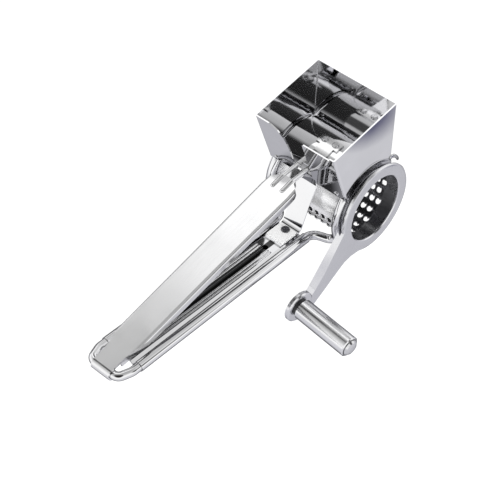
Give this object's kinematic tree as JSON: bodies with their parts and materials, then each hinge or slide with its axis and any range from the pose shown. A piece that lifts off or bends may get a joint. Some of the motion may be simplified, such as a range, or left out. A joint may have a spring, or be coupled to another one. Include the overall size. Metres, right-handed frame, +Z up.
{
  "type": "rotary cheese grater",
  "caption": "Hand-held rotary grater: square hopper over a perforated drum turned by a side crank, with a hinged press lever above a wire-framed handle.",
  "frame": {"origin": "centre of the footprint of the whole object's box, at its lowest point", "axes": "+Z up out of the hopper's mouth, +Y from the handle towards the drum, +X along the drum axis to the crank side"},
  "size_m": [0.0946, 0.194, 0.0857],
  "materials": {
    "polished_sheet": "mirror-polished stainless steel sheet",
    "satin_sheet": "satin stainless steel sheet",
    "polished_wire": "polished stainless steel wire",
    "drum_steel": "pressed and perforated stainless steel, darker inside",
    "rivet_steel": "turned steel rivet",
    "dark_washer": "black nylon washer"
  },
  "bodies": {
    "frame": {"hopper": "polished_sheet", "hopper_rivets": "rivet_steel", "wire_frame": "polished_wire", "lower_handle": "polished_sheet", "neck_bracket": "polished_sheet", "handle_front_plate": "polished_sheet", "handle_rivet": "rivet_steel", "left_bearing_ring": "satin_sheet", "right_bearing_ring": "satin_sheet"},
    "lever": {"press_lever": "polished_sheet", "pusher_plate": "polished_sheet", "pusher_rivets": "rivet_steel"},
    "drum": {"grating_drum": "drum_steel", "drum_left_collar": "satin_sheet", "drum_right_collar": "satin_sheet", "crank_plate": "satin_sheet", "knob_pin": "rivet_steel", "knob_washer": "dark_washer"},
    "knob": {"knob_sleeve": "polished_sheet"}
  },
  "joints": [
    {"name": "drum_spin", "type": "hinge", "parent": "frame", "child": "drum", "pos_m": [-0.01949, 0.07111, 0.02954], "axis": [1, 0, 0], "continuous": true},
    {"name": "lever_lift", "type": "hinge", "parent": "frame", "child": "lever", "pos_m": [-0.01949, -0.09369, 0.04854], "axis": [1, 0, 0], "range_deg": [0, 110]},
    {"name": "knob_spin", "type": "hinge", "parent": "drum", "child": "knob", "pos_m": [0.02816, 0.00808, 0.00918], "axis": [0.9966, -0.078, -0.0252], "continuous": true}
  ]
}
